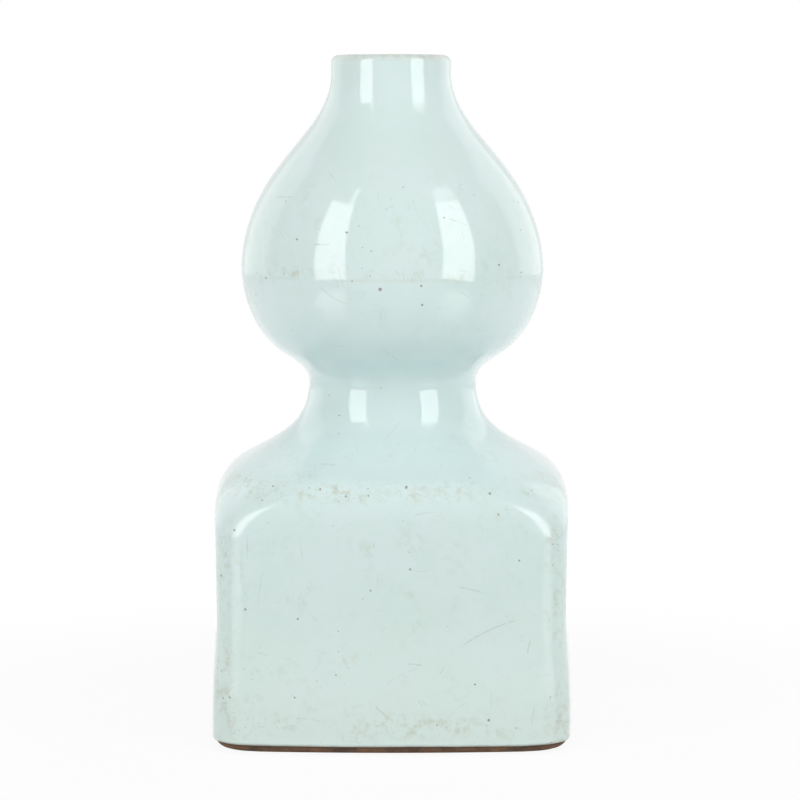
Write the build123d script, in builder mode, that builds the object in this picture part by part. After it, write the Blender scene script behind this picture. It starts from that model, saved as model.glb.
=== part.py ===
"""Double gourd vase: a round bulb and waist over a square lower body, luted from clay sections and glazed."""

import os
from math import cos, radians, sin, tan

from build123d import *

# Radii and half widths of the glazed outside, in millimetres
mouth_radius = 31.75
bulb_radius = 80.5
waist_radius = 44.55
body_half_width = 93.95
wall_hollow = 0.3
foot_flare = 1.8
corner_radius = 18.4

# Rise of each zone of the outside, from the table up to the lip
wall_height = 105.8
shoulder_rise = 77.6
bulb_lower_rise = 60.0
bulb_upper_rise = 102.7
neck_straight = 6.0

# Clay and glaze
clay_wall = 6.0
glaze_thickness = 0.8
bond_gap = 0.2
seam_thickness = 0.8

# Foot and floor
foot_height = 8.0
foot_round = 7.0
foot_width = 16.0
recess_round = 2.0
base_thickness = 8.0
glaze_line = 3.5
glaze_round = 6.0

# Each side of the square bows out, and leans by this angle where it meets a corner
side_angle = 5.5

# Stations of the outline between two zones: share of the step out or in, share of the drop, and lean.
# The lean is that of the wall going down, in degrees, positive where it spreads.
neck_to_equator_shares = ((0.298, 0.308, 39.7), (0.679, 0.537, 33.9))
equator_to_waist_shares = ((0.188, 0.458, -27.3), (0.609, 0.747, -56.2))
waist_to_wall_shares = ((0.137, 0.275, 40.1), (0.553, 0.470, 58.6), (0.939, 0.665, 27.9))
hollow_share = 0.39

# The plan is a circle above the first share of the shoulder's rise and fully square below the second
round_above_share = 0.73
square_below_share = 0.05

# Places of the luted joints, as shares of the zone that they cut
neck_cut_share = 0.75
bulb_foot_cut_share = 0.14
shoulder_cut_share = 0.73
wall_cut_share = 0.10

# Levels of the loft in each span of the outline
levels_per_span = 4

# Depth of each skin under the glazed outside
coat_inner = glaze_thickness
clay_outer = coat_inner + bond_gap
clay_inner = clay_outer + clay_wall
lining_outer = clay_inner + bond_gap
lining_inner = lining_outer + glaze_thickness
lip_radius = lining_inner / 2

# Heights that follow from the sizes
waist_height = wall_height + shoulder_rise
equator_height = waist_height + bulb_lower_rise
neck_foot_height = equator_height + bulb_upper_rise
lip_centre_height = neck_foot_height + neck_straight
wall_foot_height = foot_height + seam_thickness
floor_height = wall_foot_height + base_thickness
round_above = wall_height + round_above_share * shoulder_rise
square_below = wall_height + square_below_share * shoulder_rise
neck_cut = equator_height + neck_cut_share * bulb_upper_rise
bulb_foot_cut = waist_height + bulb_foot_cut_share * bulb_lower_rise
shoulder_cut = wall_height + shoulder_cut_share * shoulder_rise
wall_cut = wall_height + wall_cut_share * shoulder_rise
foot_half_width = body_half_width + foot_flare


def stations_between(start, end, shares):
    """Stations (radius, height, lean) from start to the one before end, with those that the shares give."""
    step_out = end[0] - start[0]
    step_up = end[1] - start[1]
    between = []
    for out_share, drop_share, lean in shares:
        between.append((start[0] + out_share * step_out, start[1] + drop_share * step_up, lean))
    return [start, *between]


neck_foot = (mouth_radius, neck_foot_height, 0)
equator = (bulb_radius, equator_height, 0)
waist = (waist_radius, waist_height, 0)
wall_top = (body_half_width, wall_height, 0)
wall_mid_height = wall_height - hollow_share * (wall_height - floor_height)
wall_mid = (body_half_width - wall_hollow, wall_mid_height, 0)
wall_low = (foot_half_width, floor_height, 0)
wall_end = (foot_half_width, glaze_round, 0)
round_lean = 45
round_end = (
    foot_half_width - glaze_round * (1 - cos(radians(round_lean))),
    glaze_round * (1 - sin(radians(round_lean))),
    -round_lean,
)

gourd_stations = [
    *stations_between(neck_foot, equator, neck_to_equator_shares),
    *stations_between(equator, waist, equator_to_waist_shares),
    waist,
]
body_stations = [
    *stations_between(waist, wall_top, waist_to_wall_shares),
    wall_top,
    wall_mid,
    wall_low,
    wall_end,
]


def inset_station(station, inset):
    """The station moved square to the wall, into the vase."""
    radius, height, lean = station
    return (radius - inset * cos(radians(lean)), height - inset * sin(radians(lean)), lean)


def span_curve(start, end, mode=Mode.ADD):
    """Smooth curve from one station down to the next, leaning at its ends as they do."""
    start_point = Vector(start[0], start[1])
    end_point = Vector(end[0], end[1])
    reach = (end_point - start_point).length / 3
    start_way = Vector(sin(radians(start[2])), -cos(radians(start[2])))
    end_way = Vector(sin(radians(end[2])), -cos(radians(end[2])))
    start_handle = start_point + start_way * reach
    end_handle = end_point - end_way * reach
    return Bezier(start_point, start_handle, end_handle, end_point, mode=mode)


def gourd_line(inset):
    """Outline of the round part at an inset, from the lip down to the waist, with its top and bottom points."""
    stations = [inset_station(station, inset) for station in gourd_stations]
    top = (mouth_radius - inset, lip_centre_height)
    Line(top, stations[0][:2])
    for start, end in zip(stations, stations[1:]):
        span_curve(start, end)
    return top, stations[-1][:2]


def lip_arc(inset):
    """Half round over the lip at an inset, from the outside of the neck to its inside."""
    radius = lip_radius - inset
    centre = mouth_radius - lip_radius
    ThreePointArc(
        (centre + radius, lip_centre_height),
        (centre, lip_centre_height + radius),
        (centre - radius, lip_centre_height),
    )


def cushion_arcs(half_width, corner):
    """Centre, radius, start and sweep of each arc of a level: four bowed sides and four round corners.

    They lie on one circle where corner is half_width.
    """
    bow = sin(radians(side_angle)) - cos(radians(side_angle))
    side_radius = (half_width + corner * bow) / (1 + bow)
    corner_place = (side_radius - corner) * sin(radians(side_angle))
    for turn in (0, 90, 180, 270):
        side_centre = Vector(half_width - side_radius, 0).rotate(Axis.Z, turn)
        corner_centre = Vector(corner_place, corner_place).rotate(Axis.Z, turn)
        yield side_centre, side_radius, turn - side_angle, 2 * side_angle
        yield corner_centre, corner, turn + side_angle, 90 - 2 * side_angle


def cushion_square(half_width, corner):
    """Flat level of the body in the sketch at hand, drawn in true arcs."""
    with BuildLine() as outline:
        for centre, radius, start, sweep_angle in cushion_arcs(half_width, corner):
            CenterArc(centre, radius, start, sweep_angle)
    make_face(outline.edges())


def level_face(height, half_width, corner):
    """Level of the body at a height.

    It has true arcs where it is round, so that it meets the gourd, and elsewhere the same arcs drawn as
    cubic curves, so that the loft through the levels is light.
    """
    level = Plane.XY.offset(height)
    curves = []
    for centre, radius, start, sweep_angle in cushion_arcs(half_width, corner):
        reach = 4 / 3 * tan(radians(sweep_angle / 4)) * radius
        first_way = Vector(1, 0).rotate(Axis.Z, start)
        last_way = Vector(1, 0).rotate(Axis.Z, start + sweep_angle)
        first = centre + first_way * radius
        last = centre + last_way * radius
        first_handle = first + first_way.rotate(Axis.Z, 90) * reach
        last_handle = last - last_way.rotate(Axis.Z, 90) * reach
        points = [level.from_local_coords(point) for point in (first, first_handle, last_handle, last)]
        if corner == half_width:
            curves.append(Edge.make_circle(radius, level, start, start + sweep_angle))
        else:
            curves.append(Edge.make_bezier(*points))
    return Face(Wire(curves))


def corner_at(radius, height):
    """Corner radius of the outside at a height: the whole radius at the waist, the corner's down the walls."""
    share = min(max((round_above - height) / (round_above - square_below), 0), 1)
    squareness = share * share * (3 - 2 * share)
    return radius + (corner_radius - radius) * squareness


def body_levels(stations, inset):
    """Height, half width and corner radius of each level of the lower body at an inset."""
    levels = []
    for start, end in zip(stations, stations[1:]):
        curve = span_curve(start, end, mode=Mode.PRIVATE)
        steps = range(levels_per_span + (end is stations[-1]))
        for place in (step / levels_per_span for step in steps):
            point = curve @ place
            way = curve % place
            move_in = -inset * way.Y
            corner = corner_at(point.X, point.Y)
            levels.append((point.Y - inset * way.X, point.X - move_in, corner - move_in))
    return levels


def body_form(inset, stations):
    """Solid lower body at an inset, from the round waist to the last of the stations."""
    with BuildPart() as form:
        loft([level_face(*level) for level in body_levels(stations, inset)], clean=False)
    return form.part


def keep_above(height):
    """Cut away what lies under a height."""
    split(bisect_by=Plane.XY.offset(height), keep=Keep.TOP)


def keep_below(height):
    """Cut away what lies over a height."""
    split(bisect_by=Plane.XY.offset(height), keep=Keep.BOTTOM)


def write(piece, label):
    """Label a finished piece and write its file."""
    piece.part.label = label
    export_step(piece.part, f"parts/{label}.step")


os.makedirs("parts", exist_ok=True)

# Whole clay shell, which the sections and seams are cut from
with BuildPart() as clay_shell:
    with BuildSketch(Plane.XZ):
        with BuildLine():
            _, outer_foot = gourd_line(clay_outer)
            _, inner_foot = gourd_line(clay_inner)
            lip_arc(clay_outer)
            Line(outer_foot, inner_foot)
        make_face()
    revolve(axis=Axis.Z)
    add(body_form(clay_outer, [*body_stations, round_end]))
    add(body_form(clay_inner, body_stations), mode=Mode.SUBTRACT)

# Round sections and the shoulder, each with half a seam's height left open at its cuts
half_seam = seam_thickness / 2

with BuildPart() as neck_collar:
    add(clay_shell.part)
    keep_above(neck_cut + half_seam)
write(neck_collar, "neck_collar")

with BuildPart() as bulb_upper_half:
    add(clay_shell.part)
    keep_below(neck_cut - half_seam)
    keep_above(equator_height + half_seam)
write(bulb_upper_half, "bulb_upper_half")

with BuildPart() as bulb_lower_half:
    add(clay_shell.part)
    keep_below(equator_height - half_seam)
    keep_above(bulb_foot_cut + half_seam)
write(bulb_lower_half, "bulb_lower_half")

with BuildPart() as waist_collar:
    add(clay_shell.part)
    keep_below(bulb_foot_cut - half_seam)
    keep_above(shoulder_cut + half_seam)
write(waist_collar, "waist_collar")

with BuildPart() as shoulder:
    add(clay_shell.part)
    keep_below(shoulder_cut - half_seam)
    keep_above(wall_cut + half_seam)
write(shoulder, "shoulder")

# Rings of fired slip between the sections
for seam_label, cut_height in (
    ("neck_seam", neck_cut),
    ("equator_seam", equator_height),
    ("bulb_waist_seam", bulb_foot_cut),
    ("waist_shoulder_seam", shoulder_cut),
    ("shoulder_wall_seam", wall_cut),
):
    with BuildPart() as ring_seam:
        add(clay_shell.part)
        keep_below(cut_height + half_seam)
        keep_above(cut_height - half_seam)
    write(ring_seam, seam_label)

# Four wall slabs, mitred at the corners
with BuildPart() as wall_box:
    add(clay_shell.part)
    keep_below(wall_cut - half_seam)
    keep_above(wall_foot_height)

for wall_label, facing in (
    ("wall_right", 0),
    ("wall_back", 90),
    ("wall_left", 180),
    ("wall_front", 270),
):
    with BuildPart() as wall_slab:
        add(wall_box.part)
        for mitre in (facing - 45, facing + 45):
            into_wall = Vector(1, 0).rotate(Axis.Z, mitre)
            split(bisect_by=Plane(origin=into_wall * half_seam, z_dir=into_wall), keep=Keep.TOP)
    write(wall_slab, wall_label)

with BuildPart() as corner_seams:
    with BuildSketch(Plane.XY.offset(wall_foot_height)):
        for diagonal in (45, 135):
            Rectangle(4 * foot_half_width, seam_thickness, rotation=diagonal)
    extrude(amount=wall_cut)
    add(wall_box.part, mode=Mode.INTERSECT)
write(corner_seams, "corner_seams")

# Floor of the box, luted inside the walls
base_half_width = foot_half_width - clay_inner - bond_gap - seam_thickness
base_corner = corner_radius - foot_half_width + base_half_width

with BuildPart() as base_slab:
    with BuildSketch(Plane.XY.offset(wall_foot_height)):
        cushion_square(base_half_width, base_corner)
    extrude(amount=base_thickness)
write(base_slab, "base_slab")

with BuildPart() as base_seam:
    with BuildSketch(Plane.XY.offset(wall_foot_height)):
        cushion_square(base_half_width + seam_thickness, base_corner + seam_thickness)
    extrude(amount=base_thickness)
    add(base_slab.part, mode=Mode.SUBTRACT)
write(base_seam, "base_seam")

# Low square foot, open underneath
foot_outer = foot_half_width - clay_outer
foot_corner = corner_radius - clay_outer
recess_corner = foot_corner - foot_width / 2

with BuildPart() as foot_ring:
    with BuildSketch():
        cushion_square(foot_outer, foot_corner)
    extrude(amount=foot_height)
    fillet(foot_ring.faces().sort_by(Axis.Z)[0].edges(), foot_round)
    with BuildSketch():
        cushion_square(foot_outer - foot_width, recess_corner)
    extrude(amount=foot_height, mode=Mode.SUBTRACT)
    recess_mouth = foot_ring.faces().sort_by(Axis.Z)[0].inner_wires()[0]
    fillet(recess_mouth.edges(), recess_round)
write(foot_ring, "foot_ring")

with BuildPart() as foot_seam:
    with BuildSketch(Plane.XY.offset(foot_height)):
        cushion_square(foot_outer, foot_corner)
    extrude(amount=seam_thickness)
    with BuildSketch(Plane.XY.offset(foot_height)):
        cushion_square(foot_outer - foot_width, recess_corner)
    extrude(amount=seam_thickness, mode=Mode.SUBTRACT)
write(foot_seam, "foot_seam")

# Glaze outside, from the bare foot up over the lip
with BuildPart() as glaze_coat:
    with BuildSketch(Plane.XZ):
        with BuildLine():
            _, outer_foot = gourd_line(0)
            _, inner_foot = gourd_line(coat_inner)
            lip_arc(0)
            lip_arc(coat_inner)
            lip_end = (mouth_radius - lining_inner, lip_centre_height)
            Line(lip_end, (mouth_radius - lining_outer, lip_centre_height))
            Line(outer_foot, inner_foot)
        make_face()
    revolve(axis=Axis.Z)
    add(body_form(0, [*body_stations, round_end]))
    add(body_form(coat_inner, [*body_stations, round_end]), mode=Mode.SUBTRACT)
    keep_above(glaze_line)
write(glaze_coat, "glaze_coat")

# Glaze inside, with its floor
with BuildPart() as lining_hollow:
    add(body_form(lining_inner, body_stations))
    keep_above(floor_height + glaze_thickness)

with BuildPart() as glaze_lining:
    with BuildSketch(Plane.XZ):
        with BuildLine():
            outer_top, outer_foot = gourd_line(lining_outer)
            inner_top, inner_foot = gourd_line(lining_inner)
            Line(outer_top, inner_top)
            Line(outer_foot, inner_foot)
        make_face()
    revolve(axis=Axis.Z)
    add(body_form(lining_outer, body_stations))
    add(lining_hollow.part, mode=Mode.SUBTRACT)
    keep_above(floor_height)
write(glaze_lining, "glaze_lining")

# Glaze under the floor, inside the foot
with BuildPart() as underside_glaze:
    with BuildSketch(Plane.XY.offset(wall_foot_height)):
        cushion_square(foot_outer - foot_width - bond_gap, recess_corner - bond_gap)
    extrude(amount=-glaze_thickness)
write(underside_glaze, "underside_glaze")
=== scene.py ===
"""Dressed scene of the double gourd vase: glazes, bare foot, fired clay and the studio around them."""

import logging
import math
from dataclasses import dataclass
from typing import Any

import bpy
from mathutils import Matrix

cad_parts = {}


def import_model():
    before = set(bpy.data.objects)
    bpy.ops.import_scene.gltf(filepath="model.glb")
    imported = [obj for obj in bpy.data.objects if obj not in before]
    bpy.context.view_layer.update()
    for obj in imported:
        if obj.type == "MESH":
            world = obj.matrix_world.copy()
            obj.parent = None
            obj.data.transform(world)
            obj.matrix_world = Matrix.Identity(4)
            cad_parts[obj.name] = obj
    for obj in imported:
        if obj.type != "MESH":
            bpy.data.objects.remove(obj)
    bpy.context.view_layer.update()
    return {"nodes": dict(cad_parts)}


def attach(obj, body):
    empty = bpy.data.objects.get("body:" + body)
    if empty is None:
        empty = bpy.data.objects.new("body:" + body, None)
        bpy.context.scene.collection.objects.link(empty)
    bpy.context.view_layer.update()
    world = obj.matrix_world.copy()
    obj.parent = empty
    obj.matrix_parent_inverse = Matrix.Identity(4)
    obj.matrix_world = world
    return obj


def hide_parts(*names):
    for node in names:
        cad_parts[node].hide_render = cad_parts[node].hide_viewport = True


logger = logging.getLogger("vase")

MM = 0.001
Colour = tuple[float, float, float, float]


def paint(red: float, green: float, blue: float) -> Colour:
    """Give a linear colour with full alpha."""
    return (red, green, blue, 1.0)


class Signal:
    """A node socket that can stand in Python expressions, which add Math nodes to its tree."""

    def __init__(self, desk: "NodeDesk", socket: bpy.types.NodeSocket) -> None:
        """Wrap a socket of the desk's tree."""
        self.desk = desk
        self.socket = socket

    def __add__(self, other: Any) -> "Signal":
        """Sum of the two."""
        return self.desk.math("ADD", self, other)

    __radd__ = __add__

    def __sub__(self, other: Any) -> "Signal":
        """This less the other."""
        return self.desk.math("SUBTRACT", self, other)

    def __rsub__(self, other: Any) -> "Signal":
        """The other less this."""
        return self.desk.math("SUBTRACT", other, self)

    def __mul__(self, other: Any) -> "Signal":
        """Product of the two."""
        return self.desk.math("MULTIPLY", self, other)

    __rmul__ = __mul__

    def __truediv__(self, other: Any) -> "Signal":
        """This over the other."""
        return self.desk.math("DIVIDE", self, other)

    def __rtruediv__(self, other: Any) -> "Signal":
        """The other over this."""
        return self.desk.math("DIVIDE", other, self)

    def __lt__(self, other: Any) -> "Signal":
        """One where this is less than the other."""
        return self.desk.math("LESS_THAN", self, other)

    def __abs__(self) -> "Signal":
        """Size without sign."""
        return self.desk.math("ABSOLUTE", self)

    def sin(self) -> "Signal":
        """Sine, in radians."""
        return self.desk.math("SINE", self)

    def cos(self) -> "Signal":
        """Cosine, in radians."""
        return self.desk.math("COSINE", self)

    def floor(self) -> "Signal":
        """Whole part."""
        return self.desk.math("FLOOR", self)

    def least(self, other: Any) -> "Signal":
        """The smaller of the two."""
        return self.desk.math("MINIMUM", self, other)

    def most(self, other: Any) -> "Signal":
        """The larger of the two."""
        return self.desk.math("MAXIMUM", self, other)

    def ease(self, low: Any, high: Any, start: float = 0.0, end: float = 1.0) -> "Signal":
        """Run smoothly from start to end while this goes from low to high.

        Args:
            low: Value at which the run starts.
            high: Value at which it ends; it is above low.
            start: Result below low.
            end: Result above high.

        Returns:
            The eased signal.
        """
        inputs = {"Value": self, "From Min": low, "From Max": high, "To Min": start, "To Max": end}
        node = self.desk.node("ShaderNodeMapRange", {"interpolation_type": "SMOOTHSTEP"}, inputs)
        return self.desk.out(node, "Result")

    def hump(self, centre: float, reach: float) -> "Signal":
        """One at a centre, falling smoothly to nothing a reach away from it."""
        return abs(self - centre).ease(0.0, reach, 1.0, 0.0)


class NodeDesk:
    """Place where the nodes of one tree are made and linked."""

    def __init__(self, tree: bpy.types.NodeTree) -> None:
        """Work on a tree."""
        self.tree = tree

    def node(
        self,
        kind: str,
        settings: dict[str, Any] | None = None,
        inputs: dict[str | int, Any] | None = None,
    ) -> bpy.types.Node:
        """Add a node.

        Args:
            kind: Blender's name of the node's type.
            settings: Properties, set first.
            inputs: Values or signals for the sockets, by name or number.

        Returns:
            The node.
        """
        node = self.tree.nodes.new(kind)
        for name, value in (settings or {}).items():
            setattr(node, name, value)
        for key, value in (inputs or {}).items():
            socket = node.inputs[key]
            if isinstance(value, Signal):
                self.tree.links.new(value.socket, socket)
            else:
                socket.default_value = value
        return node

    def out(self, node: bpy.types.Node, key: str | int = 0) -> Signal:
        """Signal of one of a node's outputs."""
        return Signal(self, node.outputs[key])

    def math(self, operation: str, *values: Any) -> Signal:
        """Signal of a Math node on the values."""
        node = self.node("ShaderNodeMath", {"operation": operation}, dict(enumerate(values)))
        return self.out(node)

    def vector(self, operation: str, *values: Any) -> Signal:
        """Signal of a Vector Math node on the values; a distance, length or dot product is a number."""
        node = self.node("ShaderNodeVectorMath", {"operation": operation}, dict(enumerate(values)))
        number = operation in ("DISTANCE", "LENGTH", "DOT_PRODUCT")
        return self.out(node, "Value" if number else "Vector")

    def join(self, x: Any, y: Any, z: Any) -> Signal:
        """Vector of three numbers."""
        return self.out(self.node("ShaderNodeCombineXYZ", None, {"X": x, "Y": y, "Z": z}))

    def split(self, vector: Signal) -> tuple[Signal, Signal, Signal]:
        """Three numbers of a vector."""
        node = self.node("ShaderNodeSeparateXYZ", None, {0: vector})
        return self.out(node, "X"), self.out(node, "Y"), self.out(node, "Z")

    def blend(self, factor: Any, first: Any, second: Any) -> Signal:
        """Colour that goes from the first to the second with the factor."""
        inputs = {0: factor, 6: first, 7: second}
        return self.out(self.node("ShaderNodeMix", {"data_type": "RGBA"}, inputs), 2)

    def noise(self, place: Signal, size: float, detail: float = 2.0, roughness: float = 0.5) -> Signal:
        """Cloudy signal about one half, with patches of a size in the units of the place."""
        inputs = {"Vector": place, "Scale": 1.0 / size, "Detail": detail, "Roughness": roughness}
        return self.out(self.node("ShaderNodeTexNoise", None, inputs), "Fac")


@dataclass(frozen=True)
class Station:
    """Point of the outline with the lean of its wall going down, in millimetres and degrees."""

    radius: float
    height: float
    lean: float

    def way(self) -> tuple[float, float]:
        """Direction of the wall going down."""
        lean = math.radians(self.lean)
        return math.sin(lean), -math.cos(lean)


@dataclass(frozen=True)
class Row:
    """Level of a swept piece: half width, corner radius and height, in millimetres."""

    half_width: float
    corner: float
    height: float


@dataclass
class GourdOutline:
    """Outline of the vase, from the rounded lip down to the foot, as the solids have it."""

    mouth_radius: float = 31.75
    bulb_radius: float = 80.5
    waist_radius: float = 44.55
    body_half_width: float = 93.95
    wall_hollow: float = 0.3
    foot_flare: float = 1.8
    corner_radius: float = 18.4
    wall_height: float = 105.8
    shoulder_rise: float = 77.6
    bulb_lower_rise: float = 60.0
    bulb_upper_rise: float = 102.7
    neck_straight: float = 6.0
    floor_height: float = 16.8
    wall_end_height: float = 6.0
    hollow_share: float = 0.39
    round_above_share: float = 0.73
    square_below_share: float = 0.05
    side_angle: float = 5.5
    lip_radius: float = 4.0

    def __post_init__(self) -> None:
        """Work out the heights and stations."""
        self.waist_height = self.wall_height + self.shoulder_rise
        self.equator_height = self.waist_height + self.bulb_lower_rise
        self.neck_foot_height = self.equator_height + self.bulb_upper_rise
        self.lip_centre_height = self.neck_foot_height + self.neck_straight
        self.foot_half_width = self.body_half_width + self.foot_flare
        self.round_above = self.wall_height + self.round_above_share * self.shoulder_rise
        self.square_below = self.wall_height + self.square_below_share * self.shoulder_rise
        neck_foot = Station(self.mouth_radius, self.neck_foot_height, 0)
        equator = Station(self.bulb_radius, self.equator_height, 0)
        waist = Station(self.waist_radius, self.waist_height, 0)
        wall_top = Station(self.body_half_width, self.wall_height, 0)
        mid_height = self.wall_height - self.hollow_share * (self.wall_height - self.floor_height)
        waist_to_wall = ((0.137, 0.275, 40.1), (0.553, 0.470, 58.6), (0.939, 0.665, 27.9))
        self.stations = [
            neck_foot,
            *self._between(neck_foot, equator, ((0.298, 0.308, 39.7), (0.679, 0.537, 33.9))),
            equator,
            *self._between(equator, waist, ((0.188, 0.458, -27.3), (0.609, 0.747, -56.2))),
            waist,
            *self._between(waist, wall_top, waist_to_wall),
            wall_top,
            Station(self.body_half_width - self.wall_hollow, mid_height, 0),
            Station(self.foot_half_width, self.floor_height, 0),
            Station(self.foot_half_width, self.wall_end_height, 0),
        ]

    @staticmethod
    def _between(
        start: Station,
        end: Station,
        shares: tuple[tuple[float, float, float], ...],
    ) -> list[Station]:
        """Set stations between two others.

        Args:
            start: Station above.
            end: Station below.
            shares: For each new station its shares of the step out and down, and its lean.

        Returns:
            The new stations, going down.
        """
        step_out = end.radius - start.radius
        step_up = end.height - start.height
        return [
            Station(start.radius + out * step_out, start.height + drop * step_up, lean)
            for out, drop, lean in shares
        ]

    def corner_at(self, radius: float, height: float) -> float:
        """Find the corner radius of the outside: the whole radius high up, the walls' lower down.

        Args:
            radius: Half width there.
            height: Height above the table.

        Returns:
            The corner radius.
        """
        share = (self.round_above - height) / (self.round_above - self.square_below)
        share = min(max(share, 0.0), 1.0)
        squareness = share * share * (3 - 2 * share)
        return radius + (self.corner_radius - radius) * squareness

    def rows_up(self, inset: float, step: float) -> list[Row]:
        """Rows of the skin at an inset, from the foot of the wall up to the lip.

        Args:
            inset: Depth under the glazed outside.
            step: Distance between rows, about.

        Returns:
            The rows, lowest first.
        """
        rows = []
        for start, end in zip(self.stations, self.stations[1:]):
            chord = math.dist((start.radius, start.height), (end.radius, end.height))
            count = max(2, round(chord / step))
            for number in range(count):
                rows.append(self._row(start, end, number / count, inset))
        last = self.stations[-1]
        rows.append(self._row(self.stations[-2], last, 1.0, inset))
        top = Row(self.mouth_radius - inset, self.mouth_radius - inset, self.lip_centre_height)
        return [*reversed(rows), top]

    def _row(self, start: Station, end: Station, place: float, inset: float) -> Row:
        """Find a row on the smooth curve between two stations.

        Args:
            start: Station above.
            end: Station below.
            place: Place between them, from 0 to 1.
            inset: Depth under the glazed outside.

        Returns:
            The row.
        """
        reach = math.dist((start.radius, start.height), (end.radius, end.height)) / 3
        start_way, end_way = start.way(), end.way()
        points = (
            (start.radius, start.height),
            (start.radius + start_way[0] * reach, start.height + start_way[1] * reach),
            (end.radius - end_way[0] * reach, end.height - end_way[1] * reach),
            (end.radius, end.height),
        )
        rest = 1 - place
        weights = (rest**3, 3 * rest**2 * place, 3 * rest * place**2, place**3)
        turning = 6 * rest * place
        slopes = (-3 * rest**2, 3 * rest**2 - turning, turning - 3 * place**2, 3 * place**2)
        radius = sum(w * p[0] for w, p in zip(weights, points))
        height = sum(w * p[1] for w, p in zip(weights, points))
        run_out = sum(s * p[0] for s, p in zip(slopes, points))
        run_up = sum(s * p[1] for s, p in zip(slopes, points))
        length = math.hypot(run_out, run_up)
        move_in = -inset * run_up / length
        corner = self.corner_at(radius, height) - move_in
        return Row(radius - move_in, corner, height - inset * run_out / length)

    def lip_rows(self, inset: float, count: int, inwards: bool) -> list[Row]:
        """Set rows over the half round lip, without the outer end.

        Args:
            inset: Depth under the glazed outside.
            count: How many rows.
            inwards: Whether they run from the outside in.

        Returns:
            The rows.
        """
        rows = []
        for number in range(1, count + 1):
            turn = math.pi * number / count
            radius = self.mouth_radius - self.lip_radius + (self.lip_radius - inset) * math.cos(turn)
            height = self.lip_centre_height + (self.lip_radius - inset) * math.sin(turn)
            rows.append(Row(radius, radius, height))
        return rows if inwards else list(reversed(rows))


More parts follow.
